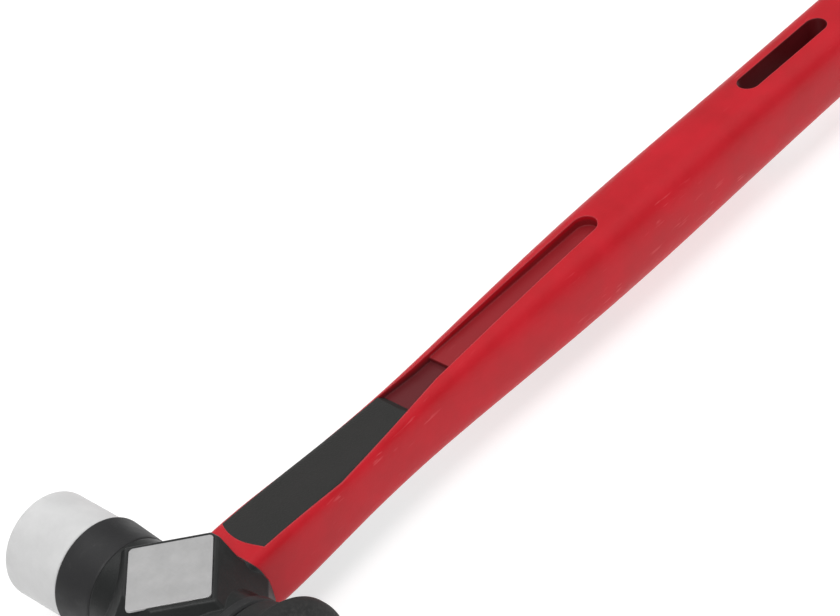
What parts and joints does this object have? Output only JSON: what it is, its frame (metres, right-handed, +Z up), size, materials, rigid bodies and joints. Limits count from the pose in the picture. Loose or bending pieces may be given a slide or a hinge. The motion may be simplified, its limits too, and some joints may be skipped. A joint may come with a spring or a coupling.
{
  "type": "soft-face mallet",
  "caption": "Soft-face mallet: iron-cored head with a pale nylon tip and a wider black rubber face, both screwed in, and a red moulded handle with a hanging slot.",
  "frame": {"origin": "middle of the mallet's box, at the level of the surface it lies on", "axes": "+X along the handle towards the grip end, +Y along the head out of the light tip, +Z up out of the label side"},
  "size_m": [0.355, 0.112, 0.05],
  "materials": {
    "housing_black": "moulded, fine grain",
    "core_iron": "as cast",
    "bright_steel": "zinc plated",
    "resin": "cured resin",
    "plug_black": "moulded",
    "label_silver": "satin foil",
    "collar_black": "moulded, matte",
    "tip_nylon": "moulded nylon",
    "face_rubber": "matte rubber",
    "rod_fibreglass": "pultruded fibreglass",
    "shell_red": "satin moulded",
    "inlay_black": "soft-touch"
  },
  "bodies": {
    "mallet": {"head_housing": "housing_black", "head_core": "core_iron", "light_bush": "bright_steel", "dark_bush": "bright_steel", "eye_resin": "resin", "cross_pin": "bright_steel", "eye_plug": "plug_black", "label_front": "label_silver", "label_back": "label_silver", "light_collar": "collar_black", "dark_collar": "collar_black", "handle_rod": "rod_fibreglass", "handle_shell": "shell_red", "inlay_front": "inlay_black", "inlay_back": "inlay_black"},
    "light_lock": {"light_washer": "bright_steel"},
    "light_striker": {"light_stud": "bright_steel", "light_tip": "tip_nylon"},
    "dark_lock": {"dark_washer": "bright_steel"},
    "dark_striker": {"dark_stud": "bright_steel", "backing_plate": "bright_steel", "dark_face": "face_rubber"}
  },
  "joints": [
    {"name": "light_travel", "type": "slide", "parent": "mallet", "child": "light_lock", "axis": [0, 1, 0], "range_m": [0, 0.01575]},
    {"name": "light_turn", "type": "hinge", "parent": "light_lock", "child": "light_striker", "pos_m": [-0.1525, 0.021, 0.025], "axis": [0, 1, 0], "range_deg": [0, 3240]},
    {"name": "dark_travel", "type": "slide", "parent": "mallet", "child": "dark_lock", "axis": [0, -1, 0], "range_m": [0, 0.014]},
    {"name": "dark_turn", "type": "hinge", "parent": "dark_lock", "child": "dark_striker", "pos_m": [-0.1525, -0.035, 0.025], "axis": [0, -1, 0], "range_deg": [0, 2880]}
  ],
  "couplings": [
    {"joint": "light_turn", "follows": "light_travel", "rad_per_m": 3590.4},
    {"joint": "dark_turn", "follows": "dark_travel", "rad_per_m": 3590.4}
  ]
}
